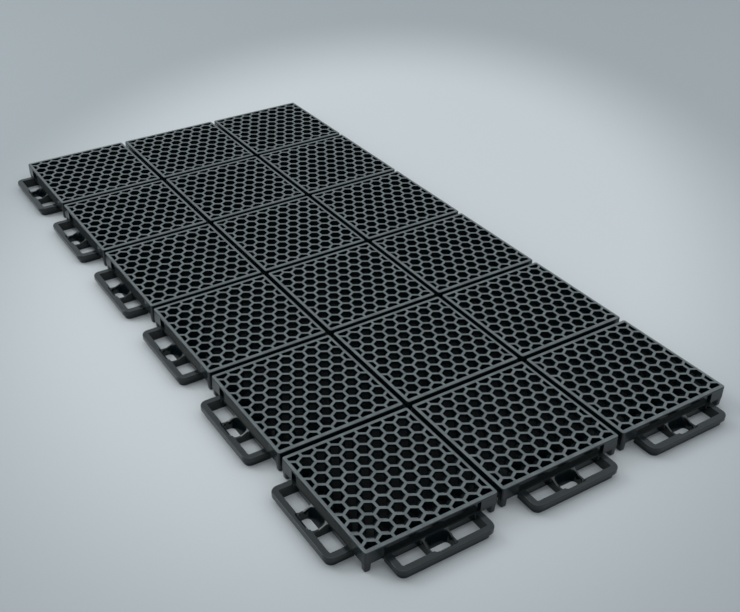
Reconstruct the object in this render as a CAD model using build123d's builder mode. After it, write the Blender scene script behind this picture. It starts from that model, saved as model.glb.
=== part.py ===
from build123d import *
from copy import deepcopy
import math
import os

# Driving dimensions, in millimetres. +Z is up and the tile rests on Z = 0.
columns = 3                 # sections along X
rows = 6                    # sections along Y
section_pitch = 100.0       # centre to centre of neighbouring sections
flex_gap = 3.4              # open slot between sections, and between joined tiles
tile_height = 16.0
corner_radius = 1.8         # upright corners of each section
edge_round = 0.8            # soft top edge of each section

# Honeycomb deck
cell_opening = 7.9          # across the flats of a cell
cell_wall = 2.6
rim_wall = 2.3              # least width of the rim round the honeycomb
deck_depth = 7.5

# Skirt, feet and webs
skirt_depth = 9.5           # from the top face to the skirt's lower edge
foot_size = 5.4
foot_taper = 4.0            # degrees
foot_round = 0.9
web_width = 8.0
web_height = 2.4
web_offset = 24.0           # from the middle of a side to each of its two webs

# Loops on the left and front sides
loop_length = 70.4
loop_reach = 17.0           # from the skirt out to the loop's outer edge
loop_height = 8.0
loop_rail = 4.6             # width of the rail's top face
loop_corner = 6.0
loop_edge_round = 0.7
lower_wall_height = 4.7     # the rail overhangs the wall below this height
lower_wall_inset = 2.1
lower_corner = 4.2
ledge_reach = 0.9           # inner rail, out past the skirt
recess_depth = 1.6          # set-back of the skirt above and below that rail
recess_lip = 1.2            # rim left above that set-back
inner_wall = 1.2            # wall under the inner rail, down to the floor
window_round = 1.0
socket_window_round = 3.0   # window corners between the socket and the outer rail

# Socket in the middle of each loop; it flares towards its top
socket_length = 15.0        # along the side, at the floor
socket_back = 3.9           # sloped back face at the floor, out from the skirt
socket_front = 12.0
socket_flare = 2.4          # extra length at the top
socket_notch = 14.3         # front edge at the top, cut into the outer rail
socket_round = 3.0
socket_block = 19.2         # both windows end here
socket_rim_height = 5.4     # walls between the socket and the windows
socket_rim_slope = 7.0      # from the skirt to where those walls reach that height

# Pegs on the right and back sides
peg_clearance = 0.5
peg_tip = 2.0               # underside of a peg above the floor
peg_round = 2.5
peg_chamfer = 0.8
relief_clearance = 0.6      # round a joined tile's loop

# Sizes that follow
section_size = section_pitch - flex_gap
half_section = section_size / 2
cell_pitch = cell_opening + cell_wall
row_pitch = cell_pitch * math.sqrt(3) / 2
cell_radius = cell_opening / math.sqrt(3)
half_columns = int((half_section - rim_wall - cell_opening / 2) / cell_pitch)
half_rows = int((half_section - rim_wall) / row_pitch)
field_width = 2 * half_columns * cell_pitch + cell_opening
field_length = 2 * half_rows * row_pitch
deck_bottom = tile_height - deck_depth
skirt_bottom = tile_height - skirt_depth
recess_top = tile_height - recess_lip
foot_place = half_section - foot_size / 2
lower_length = loop_length - 2 * lower_wall_inset
lower_reach = loop_reach - lower_wall_inset
inner_wall_back = recess_depth + inner_wall
plate_back = recess_depth + inner_wall / 2
window_length = (loop_length - socket_block) / 2 - loop_rail
window_width = loop_reach - loop_rail - ledge_reach
window_place = (socket_block + window_length) / 2
window_middle = ledge_reach + window_width / 2
window_front = loop_reach - loop_rail
undercut_width = recess_depth + ledge_reach + window_round
socket_width = socket_front - socket_back
socket_middle = (socket_back + socket_front) / 2
peg_length = socket_length - 2 * peg_clearance
peg_width = socket_width - 2 * peg_clearance
web_length = rim_wall + flex_gap / 2

# The box round the whole tile is centred on the origin
first_column_x = (loop_reach - (columns - 1) * section_pitch) / 2
first_row_y = (loop_reach - (rows - 1) * section_pitch) / 2

os.makedirs("parts", exist_ok=True)


def cell_centres():
    """Centres of one section's cells; every other row is shifted by half a cell."""
    centres = []
    for row in range(-half_rows, half_rows + 1):
        shifted = (row - half_rows) % 2
        count = 2 * half_columns + 1 + shifted
        for place in range(count):
            x = (place - (count - 1) / 2) * cell_pitch
            centres.append((x, row * row_pitch))
    return centres


# The open cells of one section, cut off straight at the rim
with BuildSketch(Plane.XY.offset(deck_bottom)) as cells:
    with Locations(*cell_centres()):
        RegularPolygon(cell_radius, 6, rotation=90)
    Rectangle(field_width, field_length, mode=Mode.INTERSECT)

# One corner foot, from the underside of the deck down to its rounded tip
with BuildPart() as foot:
    with BuildSketch(Plane.XY.offset(deck_bottom)):
        RectangleRounded(foot_size, foot_size, corner_radius)
    extrude(amount=-deck_bottom, taper=foot_taper)
    fillet(foot.faces().sort_by(Axis.Z)[0].edges(), foot_round)

# One section before its cells are opened: rimmed slab, skirt and four feet
with BuildPart() as plain_section:
    with BuildSketch(Plane.XY.offset(skirt_bottom)):
        RectangleRounded(section_size, section_size, corner_radius)
    extrude(amount=skirt_depth)
    fillet(plain_section.faces().sort_by(Axis.Z)[-1].edges(), edge_round)
    with BuildSketch(Plane.XY.offset(skirt_bottom)):
        Rectangle(field_width, field_length)
    extrude(amount=deck_bottom - skirt_bottom, mode=Mode.SUBTRACT)
    with GridLocations(2 * foot_place, 2 * foot_place, 2, 2):
        add(foot.part)

# The joining features are drawn for the front side of a section: its skirt is the
# plane Y = 0, -Y points out and X = 0 is the middle of the side. These angles turn
# them to each side.
side_angles = {"front": 0, "right": 90, "back": 180, "left": -90}
loop_sides = ("front", "left")

# Loop: an overhanging plate on a wall that stands on the floor, with two windows and
# a flared socket between them
with BuildPart() as loop:
    with BuildSketch(Plane.XY.offset(lower_wall_height)) as rail_outline:
        with Locations((0, (plate_back - loop_reach) / 2)):
            Rectangle(loop_length, loop_reach + plate_back)
        fillet(rail_outline.vertices().group_by(Axis.Y)[0], loop_corner)
    extrude(amount=loop_height - lower_wall_height)
    rail_edges = loop.faces().sort_by(Axis.Z)[-1].edges().sort_by(Axis.Y)
    fillet(rail_edges[:-1], loop_edge_round)
    with BuildSketch() as lower_outline:
        with Locations((0, (inner_wall_back - lower_reach) / 2)):
            Rectangle(lower_length, lower_reach + inner_wall_back)
        fillet(lower_outline.vertices().group_by(Axis.Y)[0], lower_corner)
    extrude(amount=lower_wall_height)
    with BuildSketch() as windows:
        with Locations((-window_place, -window_middle), (window_place, -window_middle)):
            Rectangle(window_length, window_width)
        inner_corners = windows.vertices().filter_by(lambda corner: abs(corner.X) < window_place)
        fillet(inner_corners.group_by(Axis.Y)[0], socket_window_round)
        fillet(windows.vertices().group_by(Axis.Y)[-1], window_round)
        fillet(windows.vertices().group_by(Axis.X)[0].sort_by(Axis.Y)[0], window_round)
        fillet(windows.vertices().group_by(Axis.X)[-1].sort_by(Axis.Y)[0], window_round)
    extrude(amount=loop_height, mode=Mode.SUBTRACT)
    with BuildSketch():
        with Locations((0, recess_depth - undercut_width / 2)):
            with GridLocations(2 * window_place, 0, 2, 1):
                Rectangle(window_length, undercut_width)
    extrude(amount=lower_wall_height, mode=Mode.SUBTRACT)
    with BuildSketch(Plane.YZ):
        with BuildLine():
            Polyline(
                (-ledge_reach, loop_height),
                (-socket_rim_slope, socket_rim_height),
                (-window_front, socket_rim_height),
                (-window_front, loop_height),
                close=True,
            )
        make_face()
    extrude(amount=socket_block / 2 + socket_window_round, both=True, mode=Mode.SUBTRACT)
    socket_levels = ((0, socket_front), (socket_rim_height, socket_front), (loop_height, socket_notch))
    for height, front in socket_levels:
        share = height / loop_height
        back = socket_back - share * (socket_back - ledge_reach)
        with BuildSketch(Plane.XY.offset(height)):
            with Locations((0, -(back + front) / 2)):
                RectangleRounded(socket_length + share * socket_flare, front - back, socket_round)
    loft(ruled=True, mode=Mode.SUBTRACT)

# Set-back of the skirt above a loop
with BuildPart() as recess:
    with BuildSketch(Plane.XY.offset(loop_height)):
        Rectangle(loop_length, 2 * recess_depth)
    extrude(amount=recess_top - loop_height)

# Peg that hangs from the deck and drops into the socket of a joined tile
with BuildPart() as peg:
    with BuildSketch(Plane.XY.offset(peg_tip)):
        with Locations((0, socket_middle - flex_gap)):
            RectangleRounded(peg_length, peg_width, peg_round)
    extrude(amount=deck_bottom - peg_tip)
    chamfer(peg.faces().sort_by(Axis.Z)[0].edges(), peg_chamfer)

# Room above the loop of a joined tile, cut into the skirt
with BuildPart() as relief:
    with BuildSketch(Plane.XY.offset(skirt_bottom)):
        Rectangle(loop_length + 2 * relief_clearance, 2 * loop_reach)
    extrude(amount=deck_bottom - skirt_bottom)

# The near halves of the two webs that cross a flex gap
with BuildPart() as webs:
    with BuildSketch(Plane.XY.offset(skirt_bottom)):
        with Locations((0, rim_wall - web_length / 2)):
            with GridLocations(2 * web_offset, 0, 2, 1):
                Rectangle(web_width, web_length)
    extrude(amount=web_height)


def section_shape(outer_sides):
    """A section round the origin, with a loop, a peg or two webs on each side.

    Each section is built from its own copies, because a shape that many cuts share slows them all.
    """
    with BuildPart() as shape:
        add(deepcopy(plain_section.part))
        for side, angle in side_angles.items():
            side_x = half_section * math.sin(math.radians(angle))
            side_y = -half_section * math.cos(math.radians(angle))
            with Locations((side_x, side_y)):
                if side not in outer_sides:
                    add(deepcopy(webs.part), rotation=(0, 0, angle))
                elif side in loop_sides:
                    add(deepcopy(recess.part), rotation=(0, 0, angle), mode=Mode.SUBTRACT)
                    add(deepcopy(loop.part), rotation=(0, 0, angle))
                else:
                    add(deepcopy(relief.part), rotation=(0, 0, angle), mode=Mode.SUBTRACT)
                    add(deepcopy(peg.part), rotation=(0, 0, angle))
        add(deepcopy(cells.sketch))
        extrude(amount=deck_depth, mode=Mode.SUBTRACT)
    return shape.part


def outer_sides_at(column, row):
    """The sides of a section that lie on the tile's edge."""
    on_edge = {
        "front": row == 0,
        "right": column == columns - 1,
        "back": row == rows - 1,
        "left": column == 0,
    }
    return tuple(side for side, outer in on_edge.items() if outer)


# Sections on the same edges are alike, so each kind is made once
section_kinds = {}
for row in range(rows):
    for column in range(columns):
        outer_sides = outer_sides_at(column, row)
        if outer_sides not in section_kinds:
            section_kinds[outer_sides] = section_shape(outer_sides)
        centre = (first_column_x + column * section_pitch, first_row_y + row * section_pitch)
        with BuildPart() as section:
            with Locations(centre):
                add(deepcopy(section_kinds[outer_sides]), clean=False)
        name = f"section_row{row + 1}_column{column + 1}"
        section.part.label = name
        export_step(section.part, f"parts/{name}.step")
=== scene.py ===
# %% [markdown]
# # An interlocking drainage tile in black moulded plastic
# The real tile is taken to be one injection moulding: eighteen honeycomb squares in
# three columns and six rows, loops along two sides, pegs hidden under the other two. Its
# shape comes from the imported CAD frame, which stays as it is. This script opens the
# cells a little at the top, gives the tile the surface of moulded plastic, and adds a
# pale studio and the photograph's camera.

# %% Load the frame
import bmesh
import bpy
import math
from mathutils import Matrix, Vector


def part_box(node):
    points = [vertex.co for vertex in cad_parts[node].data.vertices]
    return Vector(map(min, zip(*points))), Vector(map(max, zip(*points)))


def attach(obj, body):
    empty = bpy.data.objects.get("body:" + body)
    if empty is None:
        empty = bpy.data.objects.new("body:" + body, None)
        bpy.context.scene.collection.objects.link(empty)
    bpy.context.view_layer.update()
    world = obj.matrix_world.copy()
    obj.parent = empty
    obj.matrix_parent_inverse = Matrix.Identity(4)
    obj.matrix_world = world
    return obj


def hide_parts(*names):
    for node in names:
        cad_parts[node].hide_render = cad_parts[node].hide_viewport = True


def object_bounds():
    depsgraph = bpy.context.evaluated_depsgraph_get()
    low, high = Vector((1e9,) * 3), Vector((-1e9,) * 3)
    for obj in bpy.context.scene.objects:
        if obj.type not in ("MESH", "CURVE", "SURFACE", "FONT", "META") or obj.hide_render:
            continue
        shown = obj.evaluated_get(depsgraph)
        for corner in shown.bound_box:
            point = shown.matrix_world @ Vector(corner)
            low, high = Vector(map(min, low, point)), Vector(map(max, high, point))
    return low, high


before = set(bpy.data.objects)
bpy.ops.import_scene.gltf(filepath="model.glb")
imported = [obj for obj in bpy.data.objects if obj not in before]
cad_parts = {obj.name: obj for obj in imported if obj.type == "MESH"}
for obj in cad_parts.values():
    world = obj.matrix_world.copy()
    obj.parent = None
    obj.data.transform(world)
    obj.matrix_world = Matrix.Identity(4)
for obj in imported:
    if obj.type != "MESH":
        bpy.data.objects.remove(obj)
cad_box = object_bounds()
MM = 0.001
section_names = sorted(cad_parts)
tile_low, tile_high = Vector(cad_box[0]), Vector(cad_box[1])
print("sections:", len(section_names), "tile box:", tile_low, tile_high)

# %% [markdown]
# ## Colours and nodes
# Colours are easier to match when they are written as a picture shows them, in sRGB.
# Blender's shaders work in linear light, so one function turns a hex value into that.
# A second small function adds a shader node with its settings and links, which keeps
# the materials below short enough to read.

# %% Helpers for materials
smooth_step = {"interpolation_type": "SMOOTHSTEP"}


def srgb(code):
    """Linear colour with alpha from a hex sRGB value such as "#202426"."""
    channels = [int(code[i:i + 2], 16) / 255 for i in (1, 3, 5)]
    linear = [c / 12.92 if c <= 0.04045 else ((c + 0.055) / 1.055) ** 2.4 for c in channels]
    return (*linear, 1.0)


def add_node(tree, kind, settings=None, values=None, links=None):
    """Add one shader node; links maps an input to the socket that feeds it."""
    node = tree.nodes.new(kind)
    for name, value in (settings or {}).items():
        setattr(node, name, value)
    for name, value in (values or {}).items():
        node.inputs[name].default_value = value
    for name, socket in (links or {}).items():
        tree.links.new(socket, node.inputs[name])
    return node


def new_material(name):
    """An empty node material with its output node."""
    material = bpy.data.materials.new(name)
    material.use_nodes = True
    material.node_tree.nodes.clear()
    output = add_node(material.node_tree, "ShaderNodeOutputMaterial")
    return material, material.node_tree, output


print("middle grey #808080 in linear light:", round(srgb("#808080")[0], 3))

# %% [markdown]
# ## Draft on the cell walls
# A mould lets go of a deep cell easily only if its walls taper a little. In the CAD
# frame the walls are 2.6 mm thick all the way, while in the photograph the flat on top
# of a wall is about 1.95 mm wide. The underside isn't seen there, so a taper from one
# width to the other is a guess. It could be cut with a tool body for each cell, but
# every wall is flat, so it is enough to move the cells' top corners in a copy of the
# section. The rest of the section stays as it is, and the copy stands for the CAD one.

# %% Sizes of a section and its cells
cell_pitch = 10.5 * MM
cell_opening = 7.9 * MM
wall_at_top = 1.95 * MM
cell_columns_each_way = 4
cell_rows_each_way = 5
row_pitch = cell_pitch * math.sqrt(3) / 2
rim_x = cell_columns_each_way * cell_pitch + cell_opening / 2
rim_y = cell_rows_each_way * row_pitch
growth = (cell_pitch - wall_at_top) / cell_opening
wall_slope = math.tan(math.radians(30))
near = 0.01 * MM

middle_box = [Vector(corner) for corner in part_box("section_row2_column2")]
section_pitch = middle_box[1].x - middle_box[0].x
section_middle = (middle_box[0] + middle_box[1]) / 2
print("section pitch in mm:", round(section_pitch / MM, 2), "cell growth:", round(growth, 3))


# %% Where a cell's top corner goes
def fold(value, middle):
    """A coordinate measured from the middle of its own section."""
    return (value - middle + section_pitch / 2) % section_pitch - section_pitch / 2


def cell_centre(x, y):
    """The nearest cell's centre; every other row is shifted by half a cell."""
    centres = []
    for row in (math.floor(y / row_pitch), math.ceil(y / row_pitch)):
        shift = cell_pitch / 2 * ((row - cell_rows_each_way) % 2)
        centres.append((round((x - shift) / cell_pitch) * cell_pitch + shift, row * row_pitch))
    return min(centres, key=lambda centre: math.hypot(x - centre[0], y - centre[1]))


def drafted(x, y):
    """Where a cell's top corner goes when its walls taper; the rim stays straight."""
    centre_x, centre_y = cell_centre(x, y)
    from_x, from_y = x - centre_x, y - centre_y
    new_x, new_y = centre_x + from_x * growth, centre_y + from_y * growth
    if abs(x) > rim_x - near:
        new_x = x
        slide = abs(from_x) * (growth - 1) * wall_slope
        if abs(from_y) > near:
            new_y += math.copysign(slide, from_y)
    return max(-rim_x, min(rim_x, new_x)), max(-rim_y, min(rim_y, new_y))


corner_reach = cell_opening / math.sqrt(3)
print("a corner of the middle cell moves out by mm:",
      round((drafted(0, corner_reach)[1] - corner_reach) / MM, 3))

# %% [markdown]
# ## A closed copy of each section
# A CAD mesh comes as loose faces with the shading of the real surface stored at their
# corners. The copy is merged first, so that it is one closed shell, and then gets its
# shading back.

# %% Copies of the sections with drafted cells
merge_distance = 0.001 * MM


def merged_copy(cad_mesh):
    """A copy of a CAD mesh whose faces share their corners, and its open edges."""
    mesh = cad_mesh.copy()
    normals = [tuple(normal.vector) for normal in mesh.corner_normals]
    shell = bmesh.new()
    shell.from_mesh(mesh)
    bmesh.ops.remove_doubles(shell, verts=shell.verts, dist=merge_distance)
    open_edges = sum(not edge.is_manifold for edge in shell.edges)
    shell.to_mesh(mesh)
    shell.free()
    if len(mesh.loops) == len(normals):
        mesh.normals_split_custom_set(normals)
    return mesh, open_edges


def drafted_section(name):
    """A copy of one CAD section whose cells open towards the top."""
    mesh, open_edges = merged_copy(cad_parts[name].data)
    moved = 0
    for vertex in mesh.vertices:
        x, y = fold(vertex.co.x, section_middle.x), fold(vertex.co.y, section_middle.y)
        on_top = vertex.co.z > tile_high.z - near
        if on_top and abs(x) < rim_x + near and abs(y) < rim_y + near:
            new_x, new_y = drafted(x, y)
            vertex.co.x += new_x - x
            vertex.co.y += new_y - y
            moved += 1
    piece = bpy.data.objects.new("moulded_" + name, mesh)
    bpy.context.scene.collection.objects.link(piece)
    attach(piece, "root")
    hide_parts(name)
    print(name, "corners moved:", moved, "open edges:", open_edges)
    return piece


sections = [drafted_section(name) for name in section_names]

# %% [markdown]
# ## Where the moulding tool was textured, and where light is painted
# The walking face comes from a textured part of the steel mould and is matt. Its dark grey
# is partly that skin's own tone and partly painted light: the level top faces are made
# paler, as light falling from above shows them. The skirt round the tile shows a faint
# share of the same grey, which is a painted reflection of the pale floor. The cell walls,
# the loops and everything below come from plain steel and stay nearly black. The finish
# changes by place and not by piece, so a mask finds the skin: faces that are level and
# close to the top, and the outside of the skirt above the loops.

# %% A mask for the skin, with its painted light
# Heights of the pale top: a textured skin there, and painted light that makes it paler.
pale_top_starts, pale_top_full = tile_high.z - 0.8 * MM, tile_high.z - 0.2 * MM
level_starts, level_full = 0.6, 0.95
loop_reach = 17.0 * MM
skirt_low = tile_low + Vector((loop_reach, loop_reach, 0))
skirt_starts, skirt_full = 6.5 * MM, 9.0 * MM
skirt_face_depth = 0.5 * MM
# The skirt's share of the pale grey is a painted reflection of the floor.
skirt_painted_reflection_share = 0.12


def skin_with_painted_light(tree, place):
    """A mask that is 1 on the walking face, faint on the outer skirt and 0 elsewhere; the colour
    it carries is partly painted light.
    """
    geometry = add_node(tree, "ShaderNodeNewGeometry")
    normal = add_node(tree, "ShaderNodeSeparateXYZ",
                      links={"Vector": geometry.outputs["True Normal"]})
    position = add_node(tree, "ShaderNodeSeparateXYZ", links={"Vector": place})
    # Each limit is a value, where its step starts and where it is full. The last four
    # are the outsides of the skirt.
    limits = (
        (position.outputs["Z"], pale_top_starts, pale_top_full),
        (normal.outputs["Z"], level_starts, level_full),
        (position.outputs["Z"], skirt_starts, skirt_full),
        (position.outputs["X"], skirt_low.x + skirt_face_depth, skirt_low.x),
        (position.outputs["X"], tile_high.x - skirt_face_depth, tile_high.x),
        (position.outputs["Y"], skirt_low.y + skirt_face_depth, skirt_low.y),
        (position.outputs["Y"], tile_high.y - skirt_face_depth, tile_high.y),
    )
    steps = []
    for value, start, full in limits:
        step = add_node(tree, "ShaderNodeMapRange", smooth_step,
                        {"From Min": start, "From Max": full}, {"Value": value})
        steps.append(step.outputs["Result"])
    near_top, level, above_loops, *sides = steps
    largest, multiply = {"operation": "MAXIMUM"}, {"operation": "MULTIPLY"}
    outside = sides[0]
    for side in sides[1:]:
        either = add_node(tree, "ShaderNodeMath", largest, links={0: outside, 1: side})
        outside = either.outputs[0]
    top = add_node(tree, "ShaderNodeMath", multiply, links={0: level, 1: near_top})
    skirt = add_node(tree, "ShaderNodeMath", multiply, links={0: outside, 1: above_loops})
    # A painted reflection of the floor on the skirt above the loops.
    painted_skirt_reflection = add_node(tree, "ShaderNodeMath", multiply, {1: skirt_painted_reflection_share}, {0: skirt.outputs[0]})
    skin_and_painted_light = add_node(tree, "ShaderNodeMath", largest,
                    links={0: top.outputs[0], 1: painted_skirt_reflection.outputs[0]})
    return skin_and_painted_light.outputs[0]


print("skin from", round(pale_top_starts / MM, 2), "to", round(pale_top_full / MM, 2), "mm of height")

# %% [markdown]
# ## Black moulded polypropylene
# The tile is taken to be polypropylene coloured with carbon black, in two finishes. The
# textured skin is matt, and dust in its grain lightens it in small patches. Its pale grey is
# partly the skin's own tone and partly painted light, paler on the top faces where light
# falls, and its faint share on the skirt is a painted reflection of the pale floor. Plain
# steel leaves the rest smoother, so it mirrors the pale floor softly. Both have a very fine
# grain that breaks up reflections, and slow flow marks where the melt met, which change
# how sharp a reflection is. Procedural noise draws all three better than a picture would,
# because it has no seams. Each pattern's size is a real one, in millimetres.

# %% The tile's material
grain_size, grain_height = 0.35 * MM, 0.05 * MM
grain_detail, grain_strength = 1.0, 0.12
flow_mark_size, flow_mark_detail = 28 * MM, 2.0
dust_patch_size, dust_detail, dust_breakup = 7 * MM, 5.0, 0.6
dust_starts, dust_full = 0.35, 0.7
plastic_black = srgb("#0a1214")
# The skin greys are partly the skin's own tone and partly painted light on the tops.
skin_grey_partly_painted_light = srgb("#575c5e")
dusty_skin_grey_partly_painted_light = srgb("#686e6f")
skin_roughness = (0.36, 0.48)
plain_roughness = (0.12, 0.2)
plastic_ior = 1.49


def moulded_polypropylene():
    """Black injection-moulded plastic: a matt, dusty skin, paler with painted light on its tops,
    and smoother walls.
    """
    material, tree, output = new_material("moulded_polypropylene_black")
    place = add_node(tree, "ShaderNodeTexCoord").outputs["Object"]
    skin_and_painted_light = skin_with_painted_light(tree, place)
    dust = add_node(
        tree, "ShaderNodeTexNoise", links={"Vector": place},
        values={"Scale": 1 / dust_patch_size, "Detail": dust_detail, "Roughness": dust_breakup})
    dusty = add_node(tree, "ShaderNodeMapRange", smooth_step,
                     {"From Min": dust_starts, "From Max": dust_full},
                     {"Value": dust.outputs["Fac"]})
    # The skin grey, dusty in patches, carries painted light on the tops and a painted floor
    # reflection on the skirt.
    skin_and_painted_light_colour = add_node(tree, "ShaderNodeMix", {"data_type": "RGBA"},
                           {6: skin_grey_partly_painted_light, 7: dusty_skin_grey_partly_painted_light},
                           {0: dusty.outputs["Result"]})
    colour = add_node(tree, "ShaderNodeMix", {"data_type": "RGBA"}, {6: plastic_black},
                      {0: skin_and_painted_light, 7: skin_and_painted_light_colour.outputs[2]})
    flow = add_node(tree, "ShaderNodeTexNoise", links={"Vector": place},
                    values={"Scale": 1 / flow_mark_size, "Detail": flow_mark_detail})
    levels = []
    for lowest, highest in (plain_roughness, skin_roughness):
        level = add_node(tree, "ShaderNodeMapRange", links={"Value": flow.outputs["Fac"]},
                         values={"To Min": lowest, "To Max": highest})
        levels.append(level.outputs["Result"])
    rough = add_node(tree, "ShaderNodeMix", {"data_type": "FLOAT"},
                     links={0: skin_and_painted_light, 2: levels[0], 3: levels[1]})
    grain = add_node(tree, "ShaderNodeTexNoise", links={"Vector": place},
                     values={"Scale": 1 / grain_size, "Detail": grain_detail})
    bump = add_node(tree, "ShaderNodeBump", links={"Height": grain.outputs["Fac"]},
                    values={"Strength": grain_strength, "Distance": grain_height})
    shader = add_node(tree, "ShaderNodeBsdfPrincipled", values={"IOR": plastic_ior},
                      links={"Base Color": colour.outputs[2], "Roughness": rough.outputs[0],
                             "Normal": bump.outputs["Normal"]})
    tree.links.new(shader.outputs[0], output.inputs["Surface"])
    return material


tile_plastic = moulded_polypropylene()
for piece in sections:
    piece.data.materials.clear()
    piece.data.materials.append(tile_plastic)
print("moulded plastic on", len(sections), "sections")

# %% [markdown]
# ## A pale sheet of paper with a painted pool of light
# The tile is shot as a product on a pale sheet. The light on the sheet is palest round
# the tile and greyer further out, and a stretched circle on the sheet's own coordinates
# paints that pool of light and its fall-off into the paper's colour, so that no extra
# light falls on the tile.

# %% The floor
# Paper tones that paint the light: pale in the pool round the tile, painted shade further out.
sheet_in_painted_light = srgb("#d8d8da")
sheet_in_painted_shade = srgb("#afb2b5")
sheet_size = 12.0
pale_middle = (0.105, 0.06, 0)
pale_turn = math.radians(49.4)
pale_reach = (0.591, 0.406, 1.0)
pale_core, pale_edge = 0.547, 1.0
paper_roughness, paper_specular = 0.9, 0.2


def painted_light_pool_paper():
    """Matt paper with a painted pool of light, palest in a stretched circle."""
    material, tree, output = new_material("matte_painted_light_pool_paper")
    place = add_node(tree, "ShaderNodeTexCoord").outputs["Object"]
    stretched = add_node(
        tree, "ShaderNodeMapping", {"vector_type": "TEXTURE"},
        {"Location": pale_middle, "Rotation": (0, 0, pale_turn), "Scale": pale_reach},
        {"Vector": place})
    distance = add_node(tree, "ShaderNodeVectorMath", {"operation": "LENGTH"},
                        links={0: stretched.outputs[0]})
    outer = add_node(tree, "ShaderNodeMapRange", smooth_step,
                     {"From Min": pale_core, "From Max": pale_edge},
                     {"Value": distance.outputs["Value"]})
    colour = add_node(tree, "ShaderNodeMix", {"data_type": "RGBA"},
                      {6: sheet_in_painted_light, 7: sheet_in_painted_shade}, {0: outer.outputs["Result"]})
    paper = add_node(tree, "ShaderNodeBsdfPrincipled",
                     values={"Roughness": paper_roughness, "Specular IOR Level": paper_specular},
                     links={"Base Color": colour.outputs[2]})
    tree.links.new(paper.outputs[0], output.inputs["Surface"])
    return material


def studio_sheet():
    """The floor plane, which isn't part of the tile."""
    mesh = bpy.data.meshes.new("studio_sheet")
    half = sheet_size / 2
    corners = [(-half, -half, 0), (half, -half, 0), (half, half, 0), (-half, half, 0)]
    mesh.from_pydata(corners, [], [(0, 1, 2, 3)])
    mesh.materials.append(painted_light_pool_paper())
    sheet = bpy.data.objects.new("studio_sheet", mesh)
    bpy.context.scene.collection.objects.link(sheet)


studio_sheet()
print("paper sheet, metres across:", sheet_size)

# %% [markdown]
# ## Soft studio light
# In the photograph the loops show an even dark grey and no lamp, so the lamps stand
# where a level face can't mirror them to the camera: one to the left and behind, a faint
# one overhead and a faint one to the right. Most light comes from the pale room around.

# %% World and lamps
room_colour, room_strength = srgb("#dfe9ed"), 0.8
lamp_colour = srgb("#eff9fb")[:3]
# Each lamp's place and size in metres, and its power in watts
lamps = {
    "top_softbox": ((0, 0.1, 1.6), 1.0, 2.5),
    "back_softbox": ((-0.9, 1.0, 1.2), 0.8, 7.5),
    "right_softbox": ((1.1, -0.7, 1.25), 0.8, 1.5),
}


def soft_lamp(name, place, size, power):
    """A square area lamp that faces the middle of the tile."""
    lamp = bpy.data.lights.new(name, "AREA")
    lamp.size = size
    lamp.color = lamp_colour
    lamp.energy = power
    lamp_object = bpy.data.objects.new(name, lamp)
    lamp_object.location = place
    lamp_object.rotation_euler = (-Vector(place)).to_track_quat("-Z", "Y").to_euler()
    bpy.context.scene.collection.objects.link(lamp_object)


world = bpy.data.worlds.new("studio")
bpy.context.scene.world = world
world.use_nodes = True
room = world.node_tree.nodes["Background"]
room.inputs["Color"].default_value = room_colour
room.inputs["Strength"].default_value = room_strength
for name, (place, size, power) in lamps.items():
    soft_lamp(name, place, size, power)
bpy.context.scene.view_settings.view_transform = "Standard"
print("lamps:", len(lamps), "room strength:", room_strength)

# %% [markdown]
# ## The camera
# Its place and lens were solved from the grid of the tile's eighteen squares in the
# photograph. The photograph was cropped off centre, which a small lens shift repeats.

# %% Camera
camera_place = Vector((-0.3757, -0.6355, 0.4567))
camera_aim = Vector((0.4404, 0.7118, -0.5471))
camera_roll = math.radians(0.08)
sensor_width = 36.0
focal_length = 51.0
frame_shift = 0.051

camera = bpy.data.cameras.new("photo_camera")
camera.sensor_width = sensor_width
camera.lens = focal_length
camera.shift_x = frame_shift
camera_object = bpy.data.objects.new("photo_camera", camera)
facing = camera_aim.to_track_quat("-Z", "Y").to_matrix().to_4x4()
roll = Matrix.Rotation(camera_roll, 4, "Z")
camera_object.matrix_world = Matrix.Translation(camera_place) @ facing @ roll
bpy.context.scene.collection.objects.link(camera_object)
bpy.context.scene.camera = camera_object
print("camera at", camera_place, "with a lens of", focal_length, "mm")
